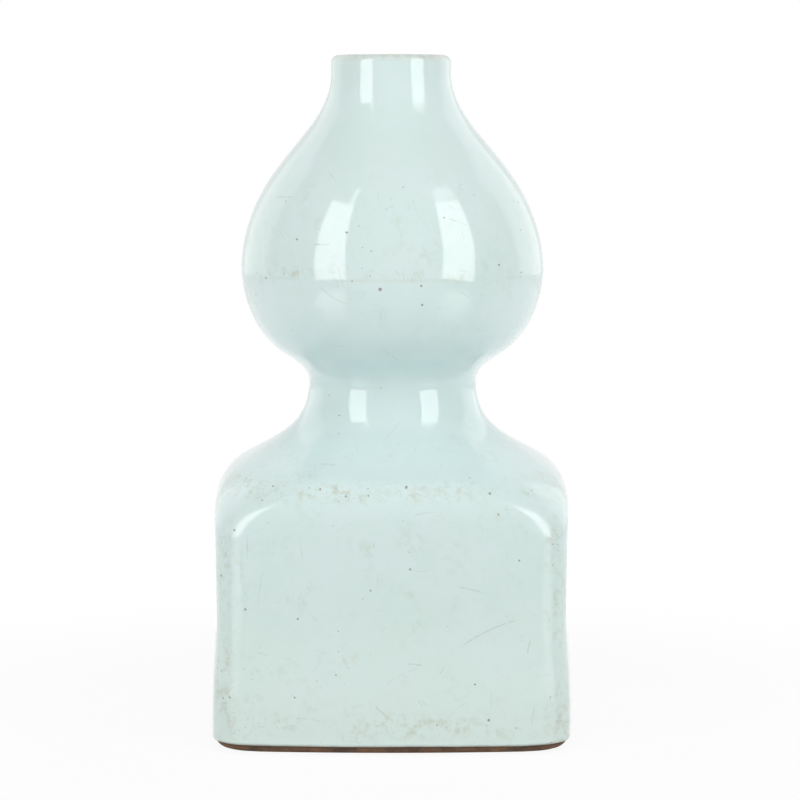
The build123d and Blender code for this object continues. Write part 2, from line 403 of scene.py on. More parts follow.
class SweepTree:
    """Geometry Nodes tree that sweeps the rows of a guide round the soft square plan of the vase.

    The guide holds one point per row, at (half width, corner radius, height), in metres. The tree lays a
    grid, bends each of its columns round four bowed sides and four round corners, sways the skin a little
    as hand-built clay does, closes the seam and the poles, and keeps the way round and the way up as
    attributes.
    """

    edge_patches = 24.0
    edge_band = (0.004, 0.016)
    corner_band = (0.066, 0.088)
    weld = 0.00002
    nudge = 0.00001

    def __init__(self) -> None:
        """Build the tree."""
        self.tree = bpy.data.node_groups.new("soft_square_sweep", "GeometryNodeTree")
        self.keys: dict[str, str] = {}
        self._add_socket("Geometry", "NodeSocketGeometry")
        for name in ("Rows", "Side Steps", "Corner Steps"):
            self._add_socket(name, "NodeSocketInt")
        for name in ("Side Angle", "Sway", "Sway Length", "Edge Wave", "Edge Lift", "Corner Lift", "Seed"):
            self._add_socket(name, "NodeSocketFloat")
        self._add_socket("Material", "NodeSocketMaterial")
        self.tree.interface.new_socket("Geometry", in_out="OUTPUT", socket_type="NodeSocketGeometry")
        self._build()

    def _add_socket(self, name: str, kind: str) -> None:
        """Add a named input and keep its identifier."""
        socket = self.tree.interface.new_socket(name, in_out="INPUT", socket_type=kind)
        self.keys[name] = socket.identifier

    def _build(self) -> None:
        """Make the nodes."""
        desk = NodeDesk(self.tree)
        given = desk.node("NodeGroupInput")
        rows = desk.out(given, "Rows")
        side_steps = desk.out(given, "Side Steps")
        corner_steps = desk.out(given, "Corner Steps")
        angle = desk.out(given, "Side Angle")
        quarter_steps = side_steps + corner_steps
        columns = quarter_steps * 4
        grid = desk.node("GeometryNodeMeshGrid", None, {"Vertices X": columns + 1, "Vertices Y": rows})

        index = desk.out(desk.node("GeometryNodeInputIndex"))
        column = (index / rows + self.nudge).floor()
        row = index - column * rows
        guide_place = desk.out(desk.node("GeometryNodeInputPosition"))
        half_width, corner, height = desk.split(self._sample(desk, given, "FLOAT_VECTOR", guide_place, row))
        run = self._sample(desk, given, "FLOAT", self._named(desk, "run"), row)
        drift = self._sample(desk, given, "FLOAT", self._named(desk, "drift"), row)

        quarter = (column / quarter_steps + self.nudge).floor()
        step = column - quarter * quarter_steps
        on_side = step < side_steps
        side_turn = step / side_steps * (angle * 2) - angle
        corner_turn = (step - side_steps) / corner_steps * (math.pi / 2 - angle * 2) + angle
        turn = on_side * side_turn + (1 - on_side) * corner_turn

        bow = angle.sin() - angle.cos()
        side_radius = (half_width + corner * bow) / (bow + 1)
        corner_place = (side_radius - corner) * angle.sin()
        radius = on_side * side_radius + (1 - on_side) * corner
        centre_x = on_side * (half_width - side_radius) + (1 - on_side) * corner_place
        centre_y = (1 - on_side) * corner_place
        flat = desk.join(centre_x + radius * turn.cos(), centre_y + radius * turn.sin(), height)
        turned = desk.node(
            "ShaderNodeVectorRotate",
            {"rotation_type": "Z_AXIS"},
            {"Vector": flat, "Angle": (quarter + 1) * (math.pi / 2)},
        )
        place = desk.out(turned)

        quarter_run = side_radius * angle * 2 + corner * (math.pi / 2 - angle * 2)
        side_run = side_radius * (turn + angle)
        corner_run = side_radius * angle * 2 + corner * (turn - angle)
        step_run = on_side * side_run + (1 - on_side) * corner_run
        around = (quarter - 2) * quarter_run + step_run - side_radius * angle
        skin = desk.join(around / MM, run / MM, 0.0)

        across, depth, level = desk.split(place)
        level_place = desk.join(across, depth, 0.0)
        radial = desk.vector("NORMALIZE", level_place)
        seed = desk.out(given, "Seed")
        sway = self._noise(desk, place, seed, 1.0 / desk.out(given, "Sway Length"), 1.0)
        sway = sway * desk.out(given, "Sway")
        wave = self._noise(desk, level_place, seed + 5.0, self.edge_patches, 2.0)
        near_edge = level.ease(*self.edge_band, 1.0, 0.0)
        near_corner = abs(across).least(abs(depth)).ease(*self.corner_band)
        lift = wave * desk.out(given, "Edge Wave") + desk.out(given, "Edge Lift")
        lift = (lift + desk.out(given, "Corner Lift") * near_corner) * near_edge
        swayed = desk.node("ShaderNodeVectorMath", {"operation": "SCALE"}, {0: radial, "Scale": sway})
        moved = desk.vector("ADD", place, desk.out(swayed))
        moved = desk.vector("ADD", moved, desk.join(drift, 0.0, lift))

        placed = desk.node(
            "GeometryNodeSetPosition", None, {"Geometry": desk.out(grid, "Mesh"), "Position": moved}
        )
        last_row = rows - 1
        total_run = self._sample(desk, given, "FLOAT", self._named(desk, "run"), last_row)
        map_place = desk.join(column / columns, run / total_run, 0.0)
        mapped = self._store(desk, placed, "UVMap", "FLOAT2", map_place)
        marked = self._store(desk, mapped, "skin", "FLOAT_VECTOR", skin)
        closed = desk.node(
            "GeometryNodeMergeByDistance", None, {"Geometry": desk.out(marked), "Distance": self.weld}
        )
        smooth = desk.node(
            "GeometryNodeSetShadeSmooth", None, {"Geometry": desk.out(closed), "Shade Smooth": True}
        )
        real = desk.node("GeometryNodeRealizeInstances", None, {"Geometry": desk.out(smooth)})
        dressed = desk.node(
            "GeometryNodeSetMaterial",
            None,
            {"Geometry": desk.out(real), "Material": desk.out(given, "Material")},
        )
        desk.node("NodeGroupOutput", None, {"Geometry": desk.out(dressed)})

    @staticmethod
    def _noise(desk: NodeDesk, place: Signal, seed: Signal, scale: Any, detail: float) -> Signal:
        """Sway gently over a place.

        Args:
            desk: Desk of the tree's nodes.
            place: Place in metres.
            seed: Number that picks the noise.
            scale: Patches to a metre.
            detail: Finer layers in it.

        Returns:
            Noise between minus one and one.
        """
        inputs = {"Vector": place, "W": seed, "Scale": scale, "Detail": detail}
        node = desk.node("ShaderNodeTexNoise", {"noise_dimensions": "4D"}, inputs)
        return (desk.out(node, "Fac") - 0.5) * 2

    @staticmethod
    def _named(desk: NodeDesk, name: str) -> Signal:
        """Number kept on the guide's points under a name."""
        node = desk.node("GeometryNodeInputNamedAttribute", {"data_type": "FLOAT"}, {"Name": name})
        return desk.out(node, "Attribute")

    @staticmethod
    def _sample(desk: NodeDesk, given: bpy.types.Node, kind: str, value: Signal, index: Signal) -> Signal:
        """Read the guide.

        Args:
            desk: Desk of the tree's nodes.
            given: Group input that holds the guide.
            kind: Blender's name of the value's type.
            value: Field to read.
            index: Point to read it on.

        Returns:
            The value on that point.
        """
        settings = {"data_type": kind, "domain": "POINT"}
        inputs = {"Geometry": desk.out(given, "Geometry"), "Value": value, "Index": index}
        return desk.out(desk.node("GeometryNodeSampleIndex", settings, inputs))

    @staticmethod
    def _store(
        desk: NodeDesk,
        before: bpy.types.Node,
        name: str,
        kind: str,
        value: Signal,
    ) -> bpy.types.Node:
        """Keep a value of the points on the face corners.

        Args:
            desk: Desk of the tree's nodes.
            before: Node that gives the mesh.
            name: Name of the attribute.
            kind: Blender's name of its type.
            value: Field to keep.

        Returns:
            The node that gives the mesh with the attribute.
        """
        settings = {"data_type": "FLOAT_VECTOR", "domain": "POINT"}
        on_points = desk.out(desk.node("GeometryNodeFieldOnDomain", settings, {"Value": value}))
        settings = {"data_type": kind, "domain": "CORNER"}
        inputs = {"Geometry": desk.out(before), "Name": name, "Value": on_points}
        return desk.node("GeometryNodeStoreNamedAttribute", settings, inputs)


@dataclass
class SweptPiece:
    """One piece of the vase that is swept from a loop of rows and takes the place of a CAD node."""

    name: str
    node: str
    slot: str
    rows: list[Row]
    material: bpy.types.Material
    sway: float = 0.0
    edge_wave: float = 0.0
    edge_lift: float = 0.0
    corner_lift: float = 0.0
    drift_by_height: bool = False
    side_steps: int = 20
    corner_steps: int = 44
    sway_length: float = 70.0
    seed: float = 3.0
    bulb_drift: float = 0.5
    bulb_drift_height: float = 215.0
    bulb_drift_reach: float = 62.0
    mouth_drift: float = 0.35
    mouth_drift_height: float = 300.0
    mouth_drift_reach: float = 50.0

    def drift_at(self, height: float) -> float:
        """Find how far the hand-built form leaves its axis.

        Args:
            height: Height above the table.

        Returns:
            The step to the right, in millimetres.
        """
        if not self.drift_by_height:
            return 0.0
        away = (height - self.bulb_drift_height) / self.bulb_drift_reach
        above = (height - self.mouth_drift_height) / self.mouth_drift_reach
        return self.bulb_drift * math.exp(-(away**2)) - self.mouth_drift * min(max(above, 0.0), 1.0)

    def build(self, sweep: SweepTree, outline: GourdOutline) -> bpy.types.Object:
        """Make the piece and put it on the body.

        Args:
            sweep: Tree that does the sweep.
            outline: Outline of the vase, for its side angle.

        Returns:
            The finished object, with a plain mesh.
        """
        guide = bpy.data.meshes.new(self.name + "_guide")
        points = [(row.half_width * MM, row.corner * MM, row.height * MM) for row in self.rows]
        guide.from_pydata(points, [], [])
        runs = [0.0]
        for before, after in zip(self.rows, self.rows[1:]):
            chord = math.dist((before.half_width, before.height), (after.half_width, after.height))
            runs.append(runs[-1] + chord)
        guide.attributes.new("run", "FLOAT", "POINT").data.foreach_set("value", [run * MM for run in runs])
        drifts = [self.drift_at(row.height) * MM for row in self.rows]
        guide.attributes.new("drift", "FLOAT", "POINT").data.foreach_set("value", drifts)
        maker = bpy.data.objects.new(self.name + "_maker", guide)
        bpy.context.scene.collection.objects.link(maker)
        modifier = maker.modifiers.new("sweep", "NODES")
        modifier.node_group = sweep.tree
        values = {
            "Rows": len(self.rows),
            "Side Steps": self.side_steps,
            "Corner Steps": self.corner_steps,
            "Side Angle": math.radians(outline.side_angle),
            "Sway": self.sway * MM,
            "Sway Length": self.sway_length * MM,
            "Edge Wave": self.edge_wave * MM,
            "Edge Lift": self.edge_lift * MM,
            "Corner Lift": self.corner_lift * MM,
            "Seed": self.seed,
            "Material": self.material,
        }
        for name, value in values.items():
            modifier[sweep.keys[name]] = value
        graph = bpy.context.evaluated_depsgraph_get()
        mesh = bpy.data.meshes.new_from_object(maker.evaluated_get(graph), depsgraph=graph)
        maker.modifiers.remove(modifier)
        bpy.data.objects.remove(maker)
        mesh.name = self.name
        piece = bpy.data.objects.new(self.name, mesh)
        bpy.context.scene.collection.objects.link(piece)
        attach(piece, "root")
        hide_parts(self.node)
        logger.info("%s: %d faces", self.name, len(mesh.polygons))
        return piece


class Finish:
    """Common ground of the finishes: a node material with one Principled shader."""

    name: str

    def start(self) -> tuple[bpy.types.Material, NodeDesk, bpy.types.Node]:
        """Make an empty material.

        Returns:
            The material, the desk of its nodes and its Principled node.
        """
        material = bpy.data.materials.new(self.name)
        material.use_nodes = True
        material.node_tree.nodes.clear()
        desk = NodeDesk(material.node_tree)
        shader = desk.node("ShaderNodeBsdfPrincipled")
        desk.node("ShaderNodeOutputMaterial", None, {"Surface": desk.out(shader, "BSDF")})
        return material, desk, shader

    @staticmethod
    def place(desk: NodeDesk) -> Signal:
        """Place on the piece in millimetres."""
        coordinates = desk.node("ShaderNodeTexCoord")
        inputs = {0: desk.out(coordinates, "Object"), "Scale": 1.0 / MM}
        return desk.out(desk.node("ShaderNodeVectorMath", {"operation": "SCALE"}, inputs))

    @staticmethod
    def connect(
        desk: NodeDesk,
        shader: bpy.types.Node,
        colour: Signal,
        roughness: Signal,
        relief: Signal,
        depth: float,
    ) -> None:
        """Feed a shader.

        Args:
            desk: Desk of the material's nodes.
            shader: Its Principled node.
            colour: Base colour.
            roughness: Roughness.
            relief: Height of the surface, in units of depth.
            depth: What one unit of relief is, in millimetres.
        """
        inputs = {"Strength": 1.0, "Distance": depth * MM, "Height": relief}
        bump = desk.node("ShaderNodeBump", None, inputs)
        links = desk.tree.links
        links.new(colour.socket, shader.inputs["Base Color"])
        links.new(roughness.socket, shader.inputs["Roughness"])
        links.new(bump.outputs["Normal"], shader.inputs["Normal"])


@dataclass(frozen=True)
class Speck:
    """Brown speck on the front of the glaze, in millimetres across and up."""

    across: float
    height: float
    radius: float

    def mark(self, desk: NodeDesk, front: Signal) -> Signal:
        """One on the speck, from the place on the front."""
        away = desk.vector("DISTANCE", front, (self.across, 0.0, self.height))
        return away.ease(self.radius * 0.5, self.radius * 1.1, 1.0, 0.0)


@dataclass(frozen=True)
class Hairline:
    """Fine scratch on the front of the glaze between two places, in millimetres across and up."""

    start: tuple[float, float]
    end: tuple[float, float]
    sag: float = 0.0
    strength: float = 0.8

    def mark(self, desk: NodeDesk, front: Signal) -> Signal:
        """Trace the scratch.

        Args:
            desk: Desk of the material's nodes.
            front: Place on the front, across and up.

        Returns:
            The strength on the scratch, and nothing off it.
        """
        length = math.dist(self.start, self.end)
        run_x = (self.end[0] - self.start[0]) / length
        run_z = (self.end[1] - self.start[1]) / length
        middle = ((self.start[0] + self.end[0]) / 2, 0.0, (self.start[1] + self.end[1]) / 2)
        away = desk.vector("SUBTRACT", front, middle)
        along = desk.vector("DOT_PRODUCT", away, (run_x, 0.0, run_z)) / (length / 2)
        aside = desk.vector("DOT_PRODUCT", away, (-run_z, 0.0, run_x))
        line = abs(aside - (1 - along * along) * self.sag).ease(0.12, 0.50, 1.0, 0.0)
        return line * abs(along).ease(0.6, 1.0, self.strength, 0.0)


@dataclass(frozen=True)
class CeladonGlaze(Finish):
    """Pale celadon glaze outside, with worn bands, brown specks, fine scratches and a painted shade under
    the bulb.
    """

    outline: GourdOutline
    name: str = "celadon_glaze"
    thin: Colour = paint(0.624, 0.748, 0.731)
    pooled: Colour = paint(0.652, 0.797, 0.786)
    green: Colour = paint(0.598, 0.742, 0.700)
    # deep: painted shade, a darker tone that stands in for the shade under the bulb
    deep: Colour = paint(0.555, 0.700, 0.700)
    warm: Colour = paint(0.690, 0.795, 0.742)
    dust: Colour = paint(0.435, 0.455, 0.310)
    pit: Colour = paint(0.150, 0.124, 0.074)
    scratch: Colour = paint(0.335, 0.330, 0.260)
    rim: Colour = paint(0.560, 0.545, 0.475)
    edge: Colour = paint(0.250, 0.220, 0.185)
    ior: float = 1.63
    relief_depth: float = 0.04
    seam_drop: float = 2.0
    pool_bottom: tuple[float, float] = (118.0, 150.0)
    pool_top: tuple[float, float] = (198.0, 222.0)
    # Height and reach of the painted shade under the bulb, in millimetres
    painted_shade_height: float = 201.0
    painted_shade_reach: float = 22.0
    low_glaze: tuple[float, float] = (8.0, 100.0)
    equator_rub: tuple[float, float] = (0.5, 6.0)
    shoulder_rub: tuple[float, float] = (29.0, 9.0)
    foot_rub: tuple[float, float] = (15.0, 11.0)
    corner_rub: tuple[float, float] = (74.0, 86.0)
    corner_end: tuple[float, float] = (128.0, 142.0)
    clean_neck: tuple[float, float] = (278.0, 305.0)
    clean_under: tuple[float, float] = (186.0, 48.0)
    dull_shoulder: tuple[float, float] = (12.0, 20.0)
    grain_size: float = 2.2
    cloud_size: float = 46.0
    mottle_size: float = 9.0
    smear_size: float = 5.0
    patch_size: float = 26.0
    cluster_size: float = 11.0
    grain_share: float = 0.15
    pool_share: float = 0.85
    painted_shade_share: float = 0.6
    cloud_share: float = 0.55
    mottle_share: float = 0.35
    warm_share: float = 0.55
    dust_share: float = 0.56
    seam_dust_share: float = 0.16
    scratch_share: float = 0.50
    pit_share: float = 0.80
    edge_share: float = 0.75
    pit_layers: tuple[tuple[float, float, float], ...] = (
        (5.5, 0.42, 0.085),
        (3.0, 0.17, 0.11),
        (11.0, 0.16, 0.042),
    )
    scratch_layers: tuple[tuple[float, float, float], ...] = (
        (34.0, 0.16, 0.10),
        (19.0, 0.13, 0.09),
        (11.0, 0.10, 0.09),
        (7.0, 0.06, 0.09),
    )
    specks: tuple[Speck, ...] = (
        Speck(-5.7, 237.1, 1.1),
        Speck(15.2, 238.9, 0.65),
        Speck(15.6, 229.0, 0.7),
        Speck(-22.6, 265.6, 0.65),
        Speck(-48.4, 261.5, 0.6),
        Speck(26.7, 272.8, 0.6),
        Speck(55.1, 248.2, 0.6),
        Speck(-64.9, 240.8, 0.7),
        Speck(7.6, 137.0, 0.8),
        Speck(-36.2, 135.8, 0.6),
        Speck(50.0, 133.8, 0.8),
        Speck(54.3, 123.8, 0.6),
        Speck(-79.7, 115.3, 0.7),
        Speck(9.5, 96.0, 0.7),
        Speck(64.8, 100.1, 0.6),
        Speck(-74.3, 74.8, 0.75),
        Speck(-47.6, 70.3, 0.6),
        Speck(42.5, 36.8, 0.65),
        Speck(-28.2, 41.6, 0.6),
        Speck(49.6, 18.5, 0.85),
    )
    hairlines: tuple[Hairline, ...] = (
        Hairline((-40.2, 259.3), (-31.0, 259.4), 0.0, 0.9),
        Hairline((27.0, 272.8), (38.8, 268.6), 0.4, 0.6),
        Hairline((-60.6, 281.9), (-49.7, 283.0), 0.0, 0.5),
        Hairline((-3.8, 276.5), (1.9, 279.0), 0.5, 0.6),
        Hairline((-36.6, 146.4), (-28.4, 146.2), 0.0, 0.5),
        Hairline((10.7, 123.3), (24.0, 125.1), 0.6, 0.5),
        Hairline((-73.1, 113.0), (-73.0, 100.0), 0.0, 0.7),
        Hairline((32.9, 87.1), (48.1, 83.3), 0.3, 0.8),
        Hairline((34.9, 55.7), (66.6, 70.0), 1.9, 0.8),
        Hairline((6.9, 47.4), (16.5, 46.6), 0.2, 0.8),
        Hairline((-8.9, 26.5), (-0.7, 18.5), 0.0, 0.8),
        Hairline((24.1, 41.2), (27.0, 46.3), 0.0, 0.5),
        Hairline((-68.6, 52.7), (-62.3, 51.3), 0.0, 0.5),
        Hairline((69.2, 51.6), (71.1, 59.3), 0.3, 0.7),
    )

    def make(self) -> bpy.types.Material:
        """Make the material.

        Returns:
            The material.
        """
        material, desk, shader = self.start()
        shader.inputs["IOR"].default_value = self.ior
        place = self.place(desk)
        across, depth, height = desk.split(place)
        skin_node = desk.node("ShaderNodeAttribute", {"attribute_name": "skin"})
        skin = desk.out(skin_node, "Vector")
        seam = self.outline.equator_height - self.seam_drop

        grain = desk.noise(place, self.grain_size, 3.0, 0.6)
        pool = height.ease(seam - 5.0, seam + 2.0, 0.45, 0.0) + height.ease(*self.pool_top, 0.55, 0.0)
        pool = pool * height.ease(*self.pool_bottom)
        colour = desk.blend(pool * self.pool_share + grain * self.grain_share, self.thin, self.pooled)
        # Painted shade: the glaze is darkened round the height under the bulb, where the bulb shades it
        painted_shade_under_bulb = height.hump(self.painted_shade_height, self.painted_shade_reach)
        colour = desk.blend(painted_shade_under_bulb * self.painted_shade_share, colour, self.deep)
        cloud = desk.noise(place, self.cloud_size, 3.0, 0.55).ease(0.42, 0.66) * self.cloud_share
        mottle = desk.noise(place, self.mottle_size, 3.0, 0.6).ease(0.44, 0.70) * self.mottle_share
        colour = desk.blend((cloud + mottle) * (1 - pool * 0.7), colour, self.green)
        low = height.ease(*self.low_glaze, 1.0, 0.0)
        colour = desk.blend(low * self.warm_share, colour, self.warm)

        worn = self._worn_bands(desk, place, across, depth, height)
        smear = desk.noise(place, self.smear_size, 5.0, 0.7).ease(0.44, 0.70)
        line = height.hump(seam, 1.4) * desk.noise(place, 15.0, 2.0).ease(0.38, 0.60)
        handled = desk.noise(place, 19.0, 2.0).ease(0.50, 0.68) * 0.34 + 0.06
        rubbed = worn.most(self._clean(height) * handled)
        dusty = (rubbed * smear * self.dust_share).most(line * self.seam_dust_share)
        colour = desk.blend(dusty, colour, self.dust)

        front = self._front(desk, place, across, depth, height)
        marks = self._scratches(desk, skin, worn, height)
        for hairline in self.hairlines:
            marks = marks.most(hairline.mark(desk, front))
        marks = marks * (desk.noise(place, 2.4, 2.0).ease(0.30, 0.58) * 0.8 + 0.2)
        colour = desk.blend(marks * self.scratch_share, colour, self.scratch)
        pits = self._pits(desk, place, worn, height)
        for speck in self.specks:
            pits = pits.most(speck.mark(desk, front))
        colour = desk.blend(pits * self.pit_share, colour, self.pit)

        lip = height.ease(self.outline.lip_centre_height - 0.5, self.outline.lip_centre_height + 3.2)
        lip_noise = desk.noise(place, 3.0, 4.0, 0.7).ease(0.38, 0.66)
        colour = desk.blend(lip * (lip_noise * 0.5 + 0.25), colour, self.rim)
        _, up, _ = desk.split(skin)
        outside = height.ease(7.0, 8.0, 1.0, 0.0)
        edge = (up + (desk.noise(place, 6.0, 3.0) - 0.5) * 1.2).ease(0.4, 1.8, 1.0, 0.0) * outside
        colour = desk.blend(edge * self.edge_share, colour, self.edge)

        rise, reach = self.dull_shoulder
        dull = height.hump(self.outline.wall_height + rise, reach) * 0.09 + worn * smear * 0.16
        roughness = grain * 0.04 + 0.055 + dull + marks.most(pits) * 0.30 + edge * 0.2
        peel = desk.noise(place, 3.4, 2.0) * 0.5 + desk.noise(place, 14.0, 1.0) * 1.6
        crease = height.ease(seam - 7.0, seam) * 1.8
        relief = peel + crease - pits * 2.0 - marks * 0.8
        self.connect(desk, shader, colour, roughness, relief, self.relief_depth)
        return material

    @staticmethod
    def _front(
        desk: NodeDesk,
        place: Signal,
        across: Signal,
        depth: Signal,
        height: Signal,
    ) -> Signal:
        """Lay the map on which single marks are placed.

        Args:
            desk: Desk of the material's nodes.
            place: Place on the piece.
            across: Its part to the right.
            depth: Its part to the back.
            height: Its part upwards.

        Returns:
            Place across and up on the front, ruffled a little, and far away on the other sides.
        """
        ruffle = (desk.noise(place, 0.9, 2.0) - 0.5) * 1.3
        away = depth.ease(-4.0, 0.0) * 900.0
        return desk.join(across + ruffle, away, height + ruffle)

    def _worn_bands(
        self,
        desk: NodeDesk,
        place: Signal,
        across: Signal,
        depth: Signal,
        height: Signal,
    ) -> Signal:
        """Find where hands and shelves rub the glaze: equator, shoulder's edge, corners and foot.

        Args:
            desk: Desk of the material's nodes.
            place: Place on the piece.
            across: Its part to the right.
            depth: Its part to the back.
            height: Its part upwards.

        Returns:
            The wear, from nothing to one.
        """
        rise, reach = self.equator_rub
        equator = height.hump(self.outline.equator_height + rise, reach)
        rise, reach = self.shoulder_rub
        shoulder = height.hump(self.outline.wall_height + rise, reach)
        foot = height.hump(*self.foot_rub)
        on_wall = height.ease(*self.corner_end, 1.0, 0.0)
        corner = abs(across).least(abs(depth)).ease(*self.corner_rub) * on_wall
        bands = equator.most(shoulder).most(foot * 0.9).most(corner * 0.85)
        patch = desk.noise(place, self.patch_size, 1.0).ease(0.40, 0.60)
        return bands * (patch * 0.8 + 0.2)

    def _clean(self, height: Signal) -> Signal:
        """Find where the glaze takes marks.

        Args:
            height: Height above the table.

        Returns:
            One there, and less on the neck and under the bulb, which stay clean.
        """
        neck = height.ease(*self.clean_neck, 1.0, 0.08)
        under = height.hump(*self.clean_under)
        return neck * (1 - under * 0.95)

    def _pits(self, desk: NodeDesk, place: Signal, worn: Signal, height: Signal) -> Signal:
        """Scatter small brown pits, in clusters in the worn bands.

        Args:
            desk: Desk of the material's nodes.
            place: Place on the piece.
            worn: Wear of the glaze.
            height: Height above the table.

        Returns:
            The pits, from nothing to one.
        """
        total: Signal | None = None
        open_glaze = self._clean(height)
        cluster = desk.noise(place, self.cluster_size, 2.0).ease(0.46, 0.64)
        ruffle = desk.noise(place, 0.8, 2.0) * 0.5 + 0.75
        for size, share, reach in self.pit_layers:
            node = desk.node(
                "ShaderNodeTexVoronoi", None, {"Vector": place, "Scale": 1.0 / size, "Randomness": 1.0}
            )
            chance, width, _ = desk.split(desk.out(node, "Color"))
            in_open = share * open_glaze * (cluster * 0.75 + 0.25)
            wanted = chance < (worn * cluster * 0.9 + in_open)
            spot_reach = (width * 0.8 + 0.4) * (worn * 0.8 + 1) * reach
            spot = (desk.out(node, "Distance") * ruffle / spot_reach).ease(0.6, 1.1, 1.0, 0.0)
            spot = spot * wanted * (width * 0.6 + 0.4)
            total = spot if total is None else total.most(spot)
        return total

    def _scratches(self, desk: NodeDesk, skin: Signal, worn: Signal, height: Signal) -> Signal:
        """Scatter fine curved scratches, one in some cells of a few cell sizes.

        Args:
            desk: Desk of the material's nodes.
            skin: Way round and up on the skin.
            worn: Wear of the glaze.
            height: Height above the table.

        Returns:
            The scratches, from nothing to one.
        """
        total: Signal | None = None
        open_glaze = self._clean(height)
        around, up, _ = desk.split(skin)
        for number, (size, share, width) in enumerate(self.scratch_layers):
            shifted = desk.join(around + 311.7 * number, up + 173.3 * number, 0.0)
            settings = {"voronoi_dimensions": "2D"}
            node = desk.node("ShaderNodeTexVoronoi", settings, {"Vector": shifted, "Scale": 1.0 / size})
            away = desk.vector("SUBTRACT", shifted, desk.out(node, "Position"))
            step_x, step_y, _ = desk.split(away)
            chance, turn, bend = desk.split(desk.out(node, "Color"))
            angle = turn * math.pi
            along = step_x * angle.cos() + step_y * angle.sin()
            aside = step_y * angle.cos() - step_x * angle.sin()
            curve = (bend - 0.5) * (1.2 / size)
            line = abs(aside + along * along * curve)
            reach = (bend * 0.6 + 0.25) * size * 0.5
            ends = abs(along) / reach
            mark = line.ease(width * 0.5, width * 3.0, 1.0, 0.0) * ends.ease(0.55, 1.0, 1.0, 0.0)
            wanted = chance < (worn * 0.40 + share * open_glaze)
            mark = mark * wanted * (turn * 0.5 + 0.3)
            total = mark if total is None else total.most(mark)
        return total


@dataclass(frozen=True)
class LiningGlaze(Finish):
    """Paler, thinner glaze inside the vase and under its floor."""

    name: str = "lining_glaze"
    thin: Colour = paint(0.560, 0.660, 0.610)
    thick: Colour = paint(0.615, 0.735, 0.700)
    pit: Colour = paint(0.260, 0.200, 0.150)

    def make(self) -> bpy.types.Material:
        """Make the material.

        Returns:
            The material.
        """
        material, desk, shader = self.start()
        shader.inputs["IOR"].default_value = 1.55
        place = self.place(desk)
        tone = desk.noise(place, 22.0, 3.0).ease(0.32, 0.68)
        colour = desk.blend(tone, self.thin, self.thick)
        cells = desk.node("ShaderNodeTexVoronoi", None, {"Vector": place, "Scale": 1.0 / 7.0})
        chance, _, _ = desk.split(desk.out(cells, "Color"))
        pits = desk.out(cells, "Distance").ease(0.05, 0.10, 1.0, 0.0) * (chance < 0.25)
        colour = desk.blend(pits * 0.8, colour, self.pit)
        roughness = desk.noise(place, 3.0, 2.0) * 0.08 + 0.14
        relief = desk.noise(place, 6.0, 2.0) - pits
        self.connect(desk, shader, colour, roughness, relief, 0.10)
        return material


@dataclass(frozen=True)
class BareFoot(Finish):
    """Unglazed foot with its brown wash, grainy and rubbed on the edge it stands on, and a painted shadow
    under the glaze's edge.
    """

    name: str = "bare_foot"
    # dark: darkest brown of the wash, also the colour of the painted shadow under the glaze's edge
    dark: Colour = paint(0.090, 0.056, 0.036)
    brown: Colour = paint(0.230, 0.124, 0.067)
    rubbed: Colour = paint(0.300, 0.190, 0.120)

    def make(self) -> bpy.types.Material:
        """Make the material.

        Returns:
            The material.
        """
        material, desk, shader = self.start()
        shader.inputs["Specular IOR Level"].default_value = 0.3
        place = self.place(desk)
        _, _, height = desk.split(place)
        cloud = desk.noise(place, 11.0, 4.0, 0.6).ease(0.34, 0.68)
        colour = desk.blend(cloud, self.dark, self.brown)
        grain = desk.noise(place, 0.9, 3.0, 0.7)
        rub = height.ease(0.0, 1.6, 1.0, 0.0) * grain.ease(0.40, 0.62)
        colour = desk.blend(rub * 0.7, colour, self.rubbed)
        roughness = grain * 0.25 + 0.62
        relief = grain + desk.noise(place, 4.0, 2.0)
        # Painted shadow: the foot is darkened just under the glaze's rolled edge, as if shaded by it
        painted_shadow_under_glaze = height.ease(2.9, 4.2)
        colour = desk.blend(painted_shadow_under_glaze * 0.75, colour, self.dark)
        self.connect(desk, shader, colour, roughness, relief, 0.25)
        return material


@dataclass(frozen=True)
class FiredBody(Finish):
    """Fired clay under the glaze: pale, fine sand in it."""

    name: str
    pale: Colour
    deep: Colour
    grit: Colour = paint(0.235, 0.190, 0.145)
    depth: float = 0.15

    def make(self) -> bpy.types.Material:
        """Make the material.

        Returns:
            The material.
        """
        material, desk, shader = self.start()
        shader.inputs["Specular IOR Level"].default_value = 0.3
        place = self.place(desk)
        cloud = desk.noise(place, 17.0, 4.0).ease(0.30, 0.70)
        colour = desk.blend(cloud, self.deep, self.pale)
        cells = desk.node("ShaderNodeTexVoronoi", None, {"Vector": place, "Scale": 1.0 / 1.8})
        chance, _, _ = desk.split(desk.out(cells, "Color"))
        sand = desk.out(cells, "Distance").ease(0.12, 0.24, 1.0, 0.0) * (chance < 0.3)
        colour = desk.blend(sand * 0.6, colour, self.grit)
        grain = desk.noise(place, 0.8, 3.0, 0.7)
        roughness = grain * 0.2 + 0.70
        relief = grain + sand * 0.8
        self.connect(desk, shader, colour, roughness, relief, self.depth)
        return material


